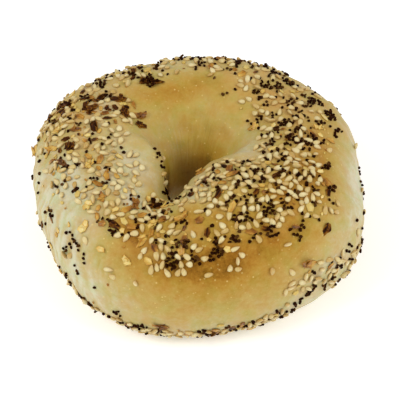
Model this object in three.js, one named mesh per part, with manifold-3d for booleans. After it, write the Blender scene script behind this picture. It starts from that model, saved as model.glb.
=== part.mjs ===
// An everything bagel in millimetres, lying on its flat underside, Z up: one ring of dough, rolled, boiled
// and baked, with flakes of onion and sesame seeds baked onto it. It is one solid.
// Two angles in degrees find a place on the dough. "At" goes round the ring: 0 is +X and 90 is +Y.
// "Section" goes round the dough: 0 faces out, 90 is the crown, 180 faces the hole and 270 is the underside.
import * as THREE from "three";
import { mergeVertices } from "three/addons/utils/BufferGeometryUtils.js";
import Module from "manifold-3d";

const wasm = await Module();
wasm.setup();

// The ring, with one value every 30 degrees from at 0 on. Radii are level, heights are above the table.
const outerRadius = [55.6, 58.2, 55, 52.8, 54.6, 60.8, 57.4, 55.3, 54.3, 52.3, 53.4, 58];
const crownHeight = [49, 48.5, 51, 50.5, 49.5, 49.5, 50, 47.5, 45, 49, 52.5, 51.5];
const holeRadius = [8.5, 8.5, 9.5, 9.5, 9.5, 8.5, 10.5, 9.8, 11.5, 7, 4.5, 4.5];
const waistHeight = [20, 23, 24.5, 25, 25, 26, 28, 25, 21.5, 22.5, 23.5, 24.5]; // where it is widest
const ringMiddle = { x: 1.036, y: -0.291 }; // the ring's axis, from the middle of the bagel's outline
const holeMiddle = { x: -3.5, y: 1.5 }; // the hole's axis, from the ring's axis

// The section is a superellipse: exponent 2 is round and a higher one is squarer.
const topExponent = 2.15;
const bottomExponent = 2.35;
const settled = 5.4; // how far below the table the section would reach, had the dough not settled flat on it
const footRound = 2.5; // how high the round edge of the flat underside begins to curve in

// Where the two ends of the rolled dough meet, the left lobe's edge stands square over the hole, a fold
// runs under that edge, and the hole has a notch that the crown dips into.
const lobeEdge = { at: 208, spread: 26, squarer: 2.6 };
const notch = { at: 252, spread: 13, wider: 5.2 };
const dip = { at: 248, spread: 16, depth: 2.5 };
const fold = {
  from: 170,
  to: 240,
  ease: 15,
  section: 136,
  drift: 0.12, // how far the section moves on for each degree round the ring
  brink: 0.7, // half the width of the step from the swollen edge down into the fold
  swell: 0.9,
  swellReach: 7,
  groove: 2.2,
  grooveReach: 4,
};
const millimetresPerSectionDegree = 0.42;

// Low swellings of the dough: waves round the ring, waves round the section, phase and height.
const swellings = [
  { around: 2, across: 1, phase: 0.4, height: 0.27 },
  { around: 3, across: -1, phase: 2.1, height: 0.21 },
  { around: 5, across: 2, phase: 4.0, height: 0.15 },
  { around: 4, across: -2, phase: 1.2, height: 0.13 },
  { around: 7, across: 1, phase: 5.2, height: 0.09 },
  { around: 6, across: 3, phase: 3.1, height: 0.08 },
];
const reliefStarts = { from: -4, to: 14 }; // the height over which relief grows in from the flat underside

// Toppings. A seed is a drop, and a flake a thin crooked chip.
const seedSize = { long: 2.9, wide: 1.75, thick: 1.1, rise: 0.2, taper: 0.5, room: 0.95 };
const seedFacets = { around: 5, along: 4 };
const flakeSize = { thick: 1.0, rise: 0.05, leastLong: 2.2, longVaries: 2.8, narrow: 0.5, narrowVaries: 0.3 };
const flakeShape = { corners: 5, leastReach: 0.42, reachVaries: 0.18, roll: 34, pitch: 18, seed: 1000 };
const flakeRoom = { share: 0.2, more: 0.5 }; // a flake's room is this share of its length, and more
const lowestTopping = 2.5; // nothing sticks to the dough lower than this
const toppingSeed = 7;
const placesTried = { flake: 10, seed: 14 }; // before a piece that finds no clear place is left out
const flakeSolidFrom = 3.4; // shorter flakes are too fine to be solids, and so are most of the seeds
const seedSolidEvery = 12;

// Patches of topping: middle and reach round the ring and across the section, then how many flakes and
// seeds they hold. The crown is the most heavily strewn, the rim of the underside next, the sides least.
const patches = [
  { at: 10, section: 86, around: 24, across: 34, flakes: 6, seeds: 17 },
  { at: 38, section: 82, around: 24, across: 36, flakes: 4, seeds: 17 },
  { at: 68, section: 70, around: 24, across: 32, flakes: 5, seeds: 24 },
  { at: 95, section: 60, around: 24, across: 30, flakes: 5, seeds: 22 },
  { at: 124, section: 70, around: 18, across: 28, flakes: 7, seeds: 20 },
  { at: 158, section: 86, around: 16, across: 38, flakes: 18, seeds: 42 },
  { at: 165, section: 50, around: 18, across: 26, flakes: 11, seeds: 26 },
  { at: 186, section: 82, around: 18, across: 36, flakes: 8, seeds: 36 },
  { at: 212, section: 86, around: 18, across: 34, flakes: 6, seeds: 36 },
  { at: 192, section: 56, around: 16, across: 18, flakes: 4, seeds: 14 },
  { at: 232, section: 78, around: 14, across: 26, flakes: 7, seeds: 28 },
  { at: 247, section: 98, around: 10, across: 18, flakes: 4, seeds: 9 },
  { at: 216, section: 140, around: 26, across: 6, flakes: 0, seeds: 6 },
  { at: 254, section: 66, around: 12, across: 22, flakes: 5, seeds: 10 },
  { at: 263, section: 52, around: 9, across: 12, flakes: 1, seeds: 2 },
  { at: 278, section: 56, around: 14, across: 20, flakes: 1, seeds: 3 },
  { at: 285, section: 92, around: 16, across: 26, flakes: 5, seeds: 34 },
  { at: 274, section: 104, around: 16, across: 14, flakes: 3, seeds: 22 },
  { at: 301, section: 112, around: 18, across: 10, flakes: 3, seeds: 18 },
  { at: 305, section: 86, around: 18, across: 28, flakes: 3, seeds: 44 },
  { at: 325, section: 84, around: 18, across: 28, flakes: 3, seeds: 38 },
  { at: 345, section: 86, around: 16, across: 28, flakes: 4, seeds: 24 },
  { at: 298, section: 58, around: 14, across: 18, flakes: 1, seeds: 8 },
  { at: 318, section: 55, around: 16, across: 20, flakes: 2, seeds: 20 },
  { at: 245, section: -27, around: 14, across: 8, flakes: 3, seeds: 12 },
  { at: 268, section: -30, around: 18, across: 8, flakes: 4, seeds: 18 },
  { at: 292, section: -26, around: 16, across: 10, flakes: 4, seeds: 16 },
  { at: 312, section: 0, around: 14, across: 26, flakes: 2, seeds: 22 },
  { at: 330, section: -8, around: 14, across: 24, flakes: 1, seeds: 16 },
  { at: 0, section: -24, around: 26, across: 14, flakes: 2, seeds: 14 },
  { at: 40, section: -22, around: 28, across: 14, flakes: 3, seeds: 16 },
  { at: 85, section: -22, around: 30, across: 14, flakes: 3, seeds: 16 },
  { at: 130, section: -22, around: 28, across: 14, flakes: 3, seeds: 16 },
  { at: 185, section: -24, around: 26, across: 12, flakes: 2, seeds: 12 },
  { at: 218, section: -27, around: 18, across: 10, flakes: 2, seeds: 10 },
  { at: 205, section: 22, around: 34, across: 26, flakes: 4, seeds: 4 },
  { at: 350, section: 15, around: 24, across: 26, flakes: 0, seeds: 3 },
  { at: 45, section: 15, around: 40, across: 24, flakes: 3, seeds: 10 },
  { at: 95, section: 12, around: 40, across: 24, flakes: 2, seeds: 10 },
  { at: 145, section: 15, around: 36, across: 24, flakes: 3, seeds: 10 },
];

// The largest flakes: at, section, long, wide and turn from the ring's direction.
const largeFlakes = [
  [124, 90, 5.5, 2.4, 20],
  [118, 95, 6.0, 2.6, 150],
  [158, 56, 6.5, 3.0, 60],
  [161, 37, 4.5, 1.8, 80],
  [161, 83, 5.2, 2.9, 100],
  [148, 97, 5.2, 3.0, 120],
  [155, 109, 6.0, 2.8, 40],
  [149, 119, 6.0, 2.2, 140],
  [158, 125, 6.0, 2.6, 130],
  [168, 77, 3.8, 2.2, 60],
  [174, 90, 5.6, 2.8, 10],
  [176, 74, 4.6, 2.0, 80],
  [185, 68, 6.6, 2.8, 40],
  [174, 57, 5.0, 1.8, 110],
  [182, 50, 7.0, 2.2, 60],
  [173, 21, 5.0, 2.4, 90],
  [192, 58, 5.0, 2.0, 30],
  [199, 80, 4.6, 2.2, 120],
  [211, 87, 4.0, 2.4, 160],
  [212, 77, 4.4, 2.0, 20],
  [219, 73, 4.6, 2.2, 150],
  [201, 106, 3.6, 2.0, 40],
  [217, 59, 4.6, 2.8, 100],
  [221, 45, 4.8, 3.0, 80],
  [231, 41, 3.8, 2.2, 20],
  [242, 44, 4.6, 2.8, 150],
  [232, 64, 4.5, 2.5, 10],
  [232, 81, 4.4, 2.2, 70],
  [234, 92, 4.8, 2.4, 110],
  [239, 72, 3.8, 2.2, 30],
  [246, 64, 5.0, 2.4, 80],
  [244, 106, 5.0, 3.0, 40],
  [251, 109, 4.6, 1.8, 10],
  [248, 84, 5.2, 1.8, 50],
  [252, 59, 4.0, 2.2, 120],
  [253, 88, 4.6, 2.4, 20],
  [262, 82, 5.0, 2.4, 0],
  [271, 73, 3.8, 2.6, 20],
  [274, 62, 3.6, 2.2, 70],
  [264, 60, 4.6, 2.6, 70],
  [289, 65, 4.2, 2.6, 50],
  [292, 54, 3.8, 2.2, 150],
  [283, 130, 4.6, 2.6, 20],
  [300, 101, 4.4, 2.8, 170],
  [61, 88, 4.0, 2.2, 60],
  [19, 117, 4.5, 2.6, 60],
  [7, 71, 4.8, 1.8, 100],
  [2, 75, 4.0, 2.2, 40],
  [334, 57, 5.6, 2.8, 80],
  [330, 54, 3.6, 2.0, 30],
  [80, 59, 5.0, 2.4, 0],
  [82, 80, 4.0, 2.0, 70],
  [310, 18, 7.0, 3.2, 155],
  [320, 36, 5.0, 3.0, 30],
  [290, -35, 4.5, 3.0, 80],
  [275, -33, 4.6, 3.2, 30],
  [256, -18, 6.0, 2.0, 170],
  [205, -8, 4.0, 2.2, 80],
];

// Seeds that lie alone on the bare front, beside the hole and between the lobes: at, section and turn.
const loneSeeds = [
  [236, 29, 20],
  [238, 25, 160],
  [247, 28, 80],
  [252, 41, 75],
  [254, 43, 90],
  [256, 52, 95],
  [256, 45, 60],
  [258, 38, 110],
  [262, 37, 50],
  [264, 37, 95],
  [263, 43, 85],
  [265, 48, 130],
  [266, 42, 170],
  [268, 54, 35],
  [270, 51, 15],
  [272, 44, 25],
  [273, 32, 5],
  [281, 34, 80],
  [284, 38, 95],
  [284, 32, 15],
  [286, 41, 130],
  [284, 46, 10],
  [294, 48, 110],
  [292, 58, 90],
  [295, 58, 100],
  [290, 65, 140],
  [287, 61, 60],
  [281, 64, 115],
  [278, 60, 105],
  [281, 71, 0],
  [248, 57, 60],
  [254, 66, 145],
  [258, 77, 165],
  [258, 72, 10],
  [262, 91, 90],
  [254, 90, 160],
  [246, 96, 0],
  [242, 98, 10],
  [246, 120, 90],
  [263, 110, 100],
  [264, 131, 60],
  [296, 24, 110],
  [303, 3, 20],
  [350, 111, 160],
  [343, 113, 165],
  [0, 105, 0],
  [8, 107, 90],
  [12, 111, 120],
  [30, 106, 20],
  [32, 111, 10],
  [36, 107, 20],
  [44, 107, 10],
  [47, 112, 30],
  [56, 101, 20],
  [47, 94, 10],
];

// Facets of the dough. The rows stand closer over the fold, and one wide row is the flat underside.
const facetsAround = 80;
const rowSteps = [
  { from: -64, to: 116, step: 12 },
  { from: 116, to: 158, step: 7 },
  { from: 158, to: 242, step: 14 },
];

const nearby = 1; // degrees either way, over which the slope of the dough is taken
const samePoint = 1e-4; // corners closer than this are one corner

const radians = THREE.MathUtils.degToRad;
const { smoothstep, euclideanModulo } = THREE.MathUtils;

function bell(at, { at: middle, spread }) {
  const away = euclideanModulo(at - middle + 180, 360) - 180;
  return Math.exp(-((away / spread) ** 2));
}

// A smooth curve through values that stand evenly round the ring.
function roundTheRing(values, at) {
  const place = (euclideanModulo(at, 360) * values.length) / 360;
  const station = Math.floor(place);
  const t = place - station;
  const [before, here, next, after] = [-1, 0, 1, 2].map(
    (step) => values[(station + step + values.length) % values.length],
  );
  const bend = 2 * before - 5 * here + 4 * next - after;
  const twist = 3 * (here - next) + after - before;
  return here + 0.5 * t * (next - before + t * (bend + t * twist));
}

// The swellings and the fold at a place on the dough, as a height over the plain section.
function reliefAt(at, section) {
  let height = 0;
  for (const wave of swellings) {
    const angle = wave.around * radians(at) + wave.across * radians(section) + wave.phase;
    height += wave.height * Math.sin(angle);
  }
  const begins = smoothstep(at, fold.from, fold.from + fold.ease);
  const ends = smoothstep(at, fold.to - fold.ease, fold.to);
  const foldSection = fold.section + fold.drift * (at - fold.from);
  const past = (section - foldSection) * millimetresPerSectionDegree;
  const before = Math.min(past + fold.brink, 0) / fold.swellReach;
  const beyond = Math.max(past - fold.brink, 0) / fold.grooveReach;
  const swell = fold.swell * Math.exp(-(before ** 2)) * (1 - smoothstep(past, -fold.brink, fold.brink));
  const groove = fold.groove * Math.exp(-(beyond ** 2)) * smoothstep(past, -fold.brink, fold.brink);
  return height + begins * (1 - ends) * (swell - groove);
}

// A point on the dough, from the ring's axis. Toppings are shared out on the plain dough, without relief.
function doughPoint(at, section, relief = true) {
  const outer = roundTheRing(outerRadius, at);
  const crown = roundTheRing(crownHeight, at) - dip.depth * bell(at, dip);
  const hole = roundTheRing(holeRadius, at) + notch.wider * bell(at, notch);
  const waist = roundTheRing(waistHeight, at);
  const out = Math.cos(radians(section));
  const up = Math.sin(radians(section));
  const shoulder = out < 0 ? topExponent + lobeEdge.squarer * bell(at, lobeEdge) : topExponent;
  const exponent = up < 0 ? bottomExponent : shoulder;
  const reach = (Math.abs(out) ** exponent + Math.abs(up) ** exponent) ** (-1 / exponent);

  const direction = new THREE.Vector2(Math.cos(radians(at)), Math.sin(radians(at)));
  const rim = direction.clone().multiplyScalar(outer);
  const wall = direction.clone().multiplyScalar(hole).add(holeMiddle);
  const level = wall.clone().lerp(rim, (1 + out * reach) / 2);
  const rise = up > 0 ? crown - waist : waist + settled;
  let height = waist + rise * up * reach;

  if (relief) {
    const across = rim.clone().sub(wall);
    const width = across.length();
    const lean = new THREE.Vector2(out / (width / 2), up / rise).normalize();
    const share = smoothstep(height, reliefStarts.from, reliefStarts.to);
    const lift = share * reliefAt(at, euclideanModulo(section, 360));
    level.addScaledVector(across, (lift * lean.x) / width);
    height += lift * lean.y;
  }
  if (height < footRound) height = height < -footRound ? 0 : (height + footRound) ** 2 / (4 * footRound);
  return new THREE.Vector3(level.x, level.y, height);
}

// Numbers from 0 to 1 that look random and are the same every time.
function dice(seed) {
  let state = seed;
  return () => {
    state = (Math.imul(state, 1664525) + 1013904223) >>> 0;
    return state / 2 ** 32;
  };
}

// Most flakes are short, and few are long.
function flakeOutline(roll) {
  const long = flakeSize.leastLong + flakeSize.longVaries * roll() * roll();
  return [long, long * (flakeSize.narrow + flakeSize.narrowVaries * roll())];
}

// Shares the toppings out: the large flakes and lone seeds first, then one piece to each patch in turn,
// flakes before seeds, none too near another.
function layToppings() {
  const roll = dice(toppingSeed);
  const laid = [];
  const lay = (kind, [at, section, long, wide, turn], anywhere = false) => {
    const room = kind === "seed" ? seedSize.room : flakeRoom.share * long + flakeRoom.more;
    const point = doughPoint(at, section, false);
    const clear = laid.every((other) => other.point.distanceTo(point) > other.room + room);
    if (!anywhere && !(clear && point.z > lowestTopping)) return false;
    laid.push({ kind, at, section, long, wide, turn, room, point });
    return true;
  };
  for (const flake of largeFlakes) lay("flake", flake, true);
  for (const [at, section, turn] of loneSeeds) {
    lay("seed", [at, section, seedSize.long, seedSize.wide, turn], true);
  }
  for (const { kind, count } of [
    { kind: "flake", count: "flakes" },
    { kind: "seed", count: "seeds" },
  ]) {
    const rounds = Math.max(...patches.map((patch) => patch[count]));
    for (let round = 0; round < rounds; round++)
      for (const patch of patches.filter((candidate) => candidate[count] > round)) {
        const [long, wide] = kind === "seed" ? [seedSize.long, seedSize.wide] : flakeOutline(roll);
        const turn = 360 * roll();
        for (let attempt = 0; attempt < placesTried[kind]; attempt++) {
          const at = patch.at + patch.around * (roll() + roll() - 1);
          const section = patch.section + patch.across * (roll() + roll() - 1);
          if (lay(kind, [at, section, long, wide, turn])) break;
        }
      }
  }
  return laid;
}

// A closed mesh as a solid that can be joined to others.
function solidOf(geometry) {
  const bare = new THREE.BufferGeometry().setAttribute("position", geometry.getAttribute("position"));
  if (geometry.index) bare.setIndex(geometry.index);
  const merged = mergeVertices(bare, samePoint);
  const vertProperties = new Float32Array(merged.attributes.position.array);
  const triVerts = new Uint32Array(merged.index.array);
  return new wasm.Manifold(new wasm.Mesh({ numProp: 3, vertProperties, triVerts }));
}

function dough() {
  const sections = rowSteps.flatMap(({ from, to, step }) =>
    Array.from({ length: (to - from) / step }, (_, row) => from + row * step),
  );
  sections.push(rowSteps.at(-1).to);
  const rows = sections.length;
  const positions = [];
  const triangles = [];
  for (let facet = 0; facet < facetsAround; facet++)
    for (let row = 0; row < rows; row++) {
      positions.push(...doughPoint((360 * facet) / facetsAround, sections[row]));
      const here = facet * rows + row;
      const up = facet * rows + ((row + 1) % rows);
      const along = ((facet + 1) % facetsAround) * rows + row;
      const both = ((facet + 1) % facetsAround) * rows + ((row + 1) % rows);
      triangles.push(here, along, both, here, both, up);
    }
  const geometry = new THREE.BufferGeometry().setIndex(triangles);
  return geometry.setAttribute("position", new THREE.Float32BufferAttribute(positions, 3));
}

// A drop: round at one end and drawn out to a point at the other, long along X.
function sesameSeed({ long, wide }) {
  const seed = new THREE.SphereGeometry(0.5, seedFacets.around, seedFacets.along).rotateZ(Math.PI / 2);
  const position = seed.getAttribute("position");
  for (let i = 0; i < position.count; i++) {
    position.setY(i, position.getY(i) * (1 - seedSize.taper * position.getX(i)));
  }
  return seed.scale(long, wide, seedSize.thick).translate(0, 0, seedSize.rise);
}

// A thin chip with a few corners, crooked by its own dice, long along X and tilted out of the dough.
function onionFlake({ long, wide }, number) {
  const roll = dice(flakeShape.seed * (number + 1));
  const start = 2 * Math.PI * roll();
  const corners = Array.from({ length: flakeShape.corners }, (_, corner) => {
    const angle = start + (2 * Math.PI * corner) / flakeShape.corners;
    const reach = flakeShape.leastReach + flakeShape.reachVaries * roll();
    return new THREE.Vector2(long * reach * Math.cos(angle), wide * reach * Math.sin(angle));
  });
  const plate = { depth: flakeSize.thick, bevelEnabled: false };
  const flake = new THREE.ExtrudeGeometry(new THREE.Shape(corners), plate);
  flake.translate(0, 0, -flakeSize.thick / 2);
  flake.rotateX(radians(flakeShape.roll * (roll() - 0.5)));
  flake.rotateY(radians(flakeShape.pitch * (roll() - 0.5)));
  return flake.translate(0, 0, flakeSize.rise);
}

// Sets a piece on the dough at its place, with its long side turned from the ring's direction.
function setOnDough(geometry, { at, section, turn }) {
  const around = doughPoint(at + nearby, section).sub(doughPoint(at - nearby, section)).normalize();
  const across = doughPoint(at, section + nearby).sub(doughPoint(at, section - nearby)).normalize();
  const normal = around.clone().cross(across).normalize();
  const long = around.applyAxisAngle(normal, radians(turn));
  const wide = normal.clone().cross(long);
  const place = new THREE.Matrix4().makeBasis(long, wide, normal).setPosition(doughPoint(at, section));
  return geometry.applyMatrix4(place);
}

// Joins the toppings to the dough. The largest shell is kept, so a hollow sealed in by a flake is filled.
function breadSolid() {
  let joined = solidOf(dough());
  layToppings().forEach((topping, number) => {
    const flake = topping.kind === "flake";
    if (flake ? topping.long < flakeSolidFrom : number % seedSolidEvery) return;
    const piece = flake ? onionFlake(topping, number) : sesameSeed(topping);
    joined = joined.add(solidOf(setOnDough(piece, topping)));
  });
  return joined.decompose().reduce((largest, shell) => (shell.volume() > largest.volume() ? shell : largest));
}

const { vertProperties, triVerts } = breadSolid().getMesh();
const bread = new THREE.BufferGeometry().setIndex(new THREE.BufferAttribute(triVerts, 1));
bread.setAttribute("position", new THREE.BufferAttribute(vertProperties, 3));
bread.computeVertexNormals();

const crust = new THREE.MeshStandardMaterial({ color: 0xc3a15c, roughness: 0.45, metalness: 0 });
const bagel = new THREE.Mesh(bread, crust);
bagel.name = "bagel";
bagel.position.set(ringMiddle.x, ringMiddle.y, 0);

const part = new THREE.Group();
part.add(bagel);
export default part;
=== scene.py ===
# An everything bagel: boiled and baked dough, strewn with sesame, poppy seeds, dried onion and garlic.
import math

import bpy
import numpy as np
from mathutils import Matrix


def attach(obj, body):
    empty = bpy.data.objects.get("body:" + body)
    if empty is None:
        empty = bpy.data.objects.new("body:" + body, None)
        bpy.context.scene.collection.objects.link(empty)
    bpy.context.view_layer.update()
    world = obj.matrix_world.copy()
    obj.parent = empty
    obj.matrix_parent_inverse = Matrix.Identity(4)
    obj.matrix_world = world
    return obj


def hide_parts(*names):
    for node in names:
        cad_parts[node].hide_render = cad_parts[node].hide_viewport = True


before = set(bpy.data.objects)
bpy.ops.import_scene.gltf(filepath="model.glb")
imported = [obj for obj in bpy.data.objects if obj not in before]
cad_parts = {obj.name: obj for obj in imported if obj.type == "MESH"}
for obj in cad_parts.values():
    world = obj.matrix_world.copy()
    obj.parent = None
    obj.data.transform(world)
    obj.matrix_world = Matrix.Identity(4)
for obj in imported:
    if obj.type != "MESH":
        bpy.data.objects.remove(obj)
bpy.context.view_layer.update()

mm = 0.001  # sizes are in millimetres, and angles in degrees, until a mesh is made
print("frame loaded:", sorted(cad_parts))


def linear(hexColour):  # an sRGB hex value as the linear colour that shaders take
    parts = [int(hexColour[i:i + 2], 16) / 255 for i in (1, 3, 5)]
    return [c / 12.92 if c <= 0.04045 else ((c + 0.055) / 1.055) ** 2.4 for c in parts] + [1.0]


def addNode(tree, kind, sockets=None, stops=(), output=0, **settings):
    # a socket takes a value, a hex colour or the output to link; stops are a ramp's places and colours;
    # output says which of the node's outputs comes back
    node = tree.nodes.new("ShaderNode" + kind)
    for name, value in settings.items():
        setattr(node, name, value)
    for name, value in (sockets or {}).items():
        if isinstance(value, bpy.types.NodeSocket):
            tree.links.new(value, node.inputs[name])
        else:
            node.inputs[name].default_value = linear(value) if isinstance(value, str) else value
    while stops and len(node.color_ramp.elements) < len(stops):
        node.color_ramp.elements.new(1.0)
    for count, (place, colour) in enumerate(stops):
        node.color_ramp.elements[count].position = place
        node.color_ramp.elements[count].color = linear(colour)
    return node.outputs[output] if node.outputs else None


colourMix = {"data_type": "RGBA", "output": 2}  # what a Mix node needs to mix colours


def startMaterial(name, *labels):  # the material, its nodes, and the values that its mesh carries
    material = bpy.data.materials.new(name)
    material.use_nodes = True
    tree = material.node_tree
    tree.nodes.clear()
    values = (addNode(tree, "Attribute", attribute_name=label, output="Fac") for label in labels)
    return material, tree, *values


def finishMaterial(material, colour, height, bump, sockets, glow=None):
    # bump: its strength and depth; glow, where light goes in: its share, reach in each colour, and depth
    tree = material.node_tree
    strength, depth = bump
    bumps = addNode(tree, "Bump", {"Strength": strength, "Distance": depth * mm, "Height": height})
    sockets = {"Base Color": colour, "Normal": bumps, **sockets}
    if glow:
        share, reach, depth = glow
        sockets |= {"Subsurface Weight": share, "Subsurface Radius": reach, "Subsurface Scale": depth * mm}
    addNode(tree, "OutputMaterial", {"Surface": addNode(tree, "BsdfPrincipled", sockets)})
    return material


def scaleFor(size):  # the texture scale that makes one cell of a pattern this many millimetres wide
    return 1 / (size * mm)


def smooth(x, low, high):
    t = np.clip((x - low) / (high - low), 0, 1)
    return t * t * (3 - 2 * t)


def bell(angle, middle, spread, height=1):  # highest at the middle, falling off round a circle of degrees
    away = np.mod(angle - middle + 180, 360) - 180
    return height * np.exp(-((away / spread) ** 2))


def dice(seed):  # numbers from 0 to 1, the same every time
    state = seed

    def roll():
        nonlocal state
        state = (state * 1664525 + 1013904223) % 2 ** 32
        return state / 2 ** 32

    return roll


def addObject(name, data):
    thing = bpy.data.objects.new(name, data)
    bpy.context.scene.collection.objects.link(thing)
    return thing


def makePiece(name, points, faces, material, attributes):
    mesh = bpy.data.meshes.new(name)
    mesh.from_pydata((np.asarray(points) * mm).tolist(), [], faces)
    mesh.polygons.foreach_set("use_smooth", [True] * len(mesh.polygons))
    for label, values in attributes.items():
        layer = mesh.attributes.new(label, "FLOAT", "POINT")
        layer.data.foreach_set("value", np.asarray(values, np.float32).ravel())
    mesh.update()
    mesh.materials.append(material)
    piece = addObject(name, mesh)
    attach(piece, "root")
    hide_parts("bagel")
    print(f"{name}: {len(points)} points, {sum(len(face) - 2 for face in faces)} triangles")


# The dough. "At" goes round the ring: 0 is +X, 90 is +Y. "Section" goes round the dough: 0 faces out,
# 90 is the crown, 180 faces the hole and 270 is the underside.

ring = {  # one value every 30 degrees from at 0 on
    "outerRadius": [55.6, 58.2, 55, 52.8, 54.6, 60.8, 57.4, 55.3, 54.3, 52.3, 53.4, 58],
    "crownHeight": [49, 48.5, 51, 50.5, 49.5, 49.5, 50, 47.5, 45, 49, 52.5, 51.5],
    "holeRadius": [8.5, 8.5, 9.5, 9.5, 9.5, 8.5, 10.5, 9.8, 11.5, 7, 4.5, 4.5],
    "waistHeight": [20, 23, 24.5, 25, 25, 26, 28, 25, 21.5, 22.5, 23.5, 24.5],
    "middle": (1.036, -0.291), "holeMiddle": (-3.5, 1.5),
    "topExponent": 2.15, "bottomExponent": 2.35, "settled": 5.4, "footRound": 2.5,
    # middle, spread and how much: squarer shoulders, a wider hole, a lower crown
    "squarer": (208, 26, 2.6), "notch": (252, 13, 5.2), "dip": (248, 16, 2.5),
}
fold = {  # where the two ends of the rolled dough meet, under the left lobe's edge
    "from": 170, "to": 240, "ease": 15, "section": 136, "drift": 0.12,
    "brink": 0.7, "swell": 0.9, "swellReach": 7, "groove": 2.2, "grooveReach": 4,
}
mmPerDegree = 0.42  # millimetres to a degree of the section
swellings = [  # waves round the ring, waves round the section, phase, height
    (2, 1, 0.4, 0.27), (3, -1, 2.1, 0.21), (5, 2, 4.0, 0.15),
    (4, -2, 1.2, 0.13), (7, 1, 5.2, 0.09), (6, 3, 3.1, 0.08),
]
reliefStarts = (-4, 14)  # the height over which relief grows in from the flat underside
# Streaks that run across the dough: where (middle and spread), how many degrees apart, how high, and how
# much paler their crests and browner their troughs are, partly the dough's own tone and partly painted
# highlight on the crests and painted shade in the troughs.
wrinkles = {  # the loose skin on the left
    "at": (207, 27), "section": (14, 34), "spacing": (2, 11), "waves": 13, "slant": 0.12, "sway": 0.8,
    "patchy": (-0.3, 1), "height": 0.26, "paleCrestsShadedTroughs": 0.27, "seed": 23,
}
flutes = {  # down the wall of the hole
    "at": (92, 60), "section": (156, 28), "spacing": (3.5, 11), "waves": 9, "slant": 0.04, "sway": 0.5,
    "patchy": (-1, 1), "height": 0.08, "paleCrestsShadedTroughs": 0.06, "seed": 29,
}
creasedMean = 1.27  # of a wave with sharp troughs, two high
comeAndGo = {"across": (2, 8), "round": (3, 14)}  # how often each wave of streaks does, to a turn
lumps = {"height": 0.055, "sizes": (5, 16), "waves": 26, "seed": 31}


def aroundRing(values, at):  # a smooth curve through values that stand evenly round the ring
    values = np.asarray(values, float)
    place = np.mod(at, 360) * len(values) / 360
    station = np.floor(place).astype(int)
    t = place - station
    before, here, following, after = (values[(station + step) % len(values)] for step in (-1, 0, 1, 2))
    bend = 2 * before - 5 * here + 4 * following - after
    twist = 3 * (here - following) + after - before
    return here + 0.5 * t * (following - before + t * (bend + t * twist))


def lowRelief(at, section):  # the swellings and the fold
    height = sum(high * np.sin(around * np.radians(at) + across * np.radians(section) + phase)
                 for around, across, phase, high in swellings)
    begins = smooth(at, fold["from"], fold["from"] + fold["ease"])
    ends = smooth(at, fold["to"] - fold["ease"], fold["to"])
    foldSection = fold["section"] + fold["drift"] * (at - fold["from"])
    past = (section - foldSection) * mmPerDegree
    before = np.minimum(past + fold["brink"], 0) / fold["swellReach"]
    beyond = np.maximum(past - fold["brink"], 0) / fold["grooveReach"]
    step = smooth(past, -fold["brink"], fold["brink"])
    swell = fold["swell"] * np.exp(-before ** 2) * (1 - step)
    groove = fold["groove"] * np.exp(-beyond ** 2) * step
    return height + begins * (1 - ends) * (swell - groove)


def streaks(pattern, at, section):  # about -1 in the troughs and 1 on the crests
    draws = np.random.default_rng(pattern["seed"])
    around, across = np.radians(at), np.radians(np.mod(section + 180, 360) - 180)
    total = 0
    for _ in range(pattern["waves"]):
        turns = 2 * round(180 / draws.uniform(*pattern["spacing"]))
        slant = pattern["slant"] * turns * draws.uniform(-1, 1)
        phase, sway, fade = draws.uniform(0, 2 * np.pi, 3)
        bend = pattern["sway"] * np.sin(3 * across + sway)
        creased = np.abs(np.sin((turns * around + slant * across + bend + phase) / 2))
        patchy = draws.uniform(*comeAndGo["across"]) * across + draws.integers(*comeAndGo["round"]) * around
        total = total + (2 * creased - creasedMean) * smooth(np.sin(patchy + fade), *pattern["patchy"])
    where = bell(at, *pattern["at"]) * bell(section, *pattern["section"])
    return where * total / math.sqrt(pattern["waves"] / 2)


lumpDraws = np.random.default_rng(lumps["seed"])
lumpWays = lumpDraws.normal(size=(lumps["waves"], 3))
lumpWays /= np.linalg.norm(lumpWays, axis=1)[:, None]
lumpWays *= (2 * np.pi / lumpDraws.uniform(*lumps["sizes"], lumps["waves"]))[:, None]
lumpPhases = lumpDraws.uniform(0, 2 * np.pi, lumps["waves"])


def fineRelief(at, section, points):  # what is too fine for the solid
    height = sum(pattern["height"] * streaks(pattern, at, section) for pattern in (wrinkles, flutes))
    for way, phase in zip(lumpWays, lumpPhases):
        height = height + lumps["height"] * np.sin(points @ way + phase)
    return height


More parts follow.
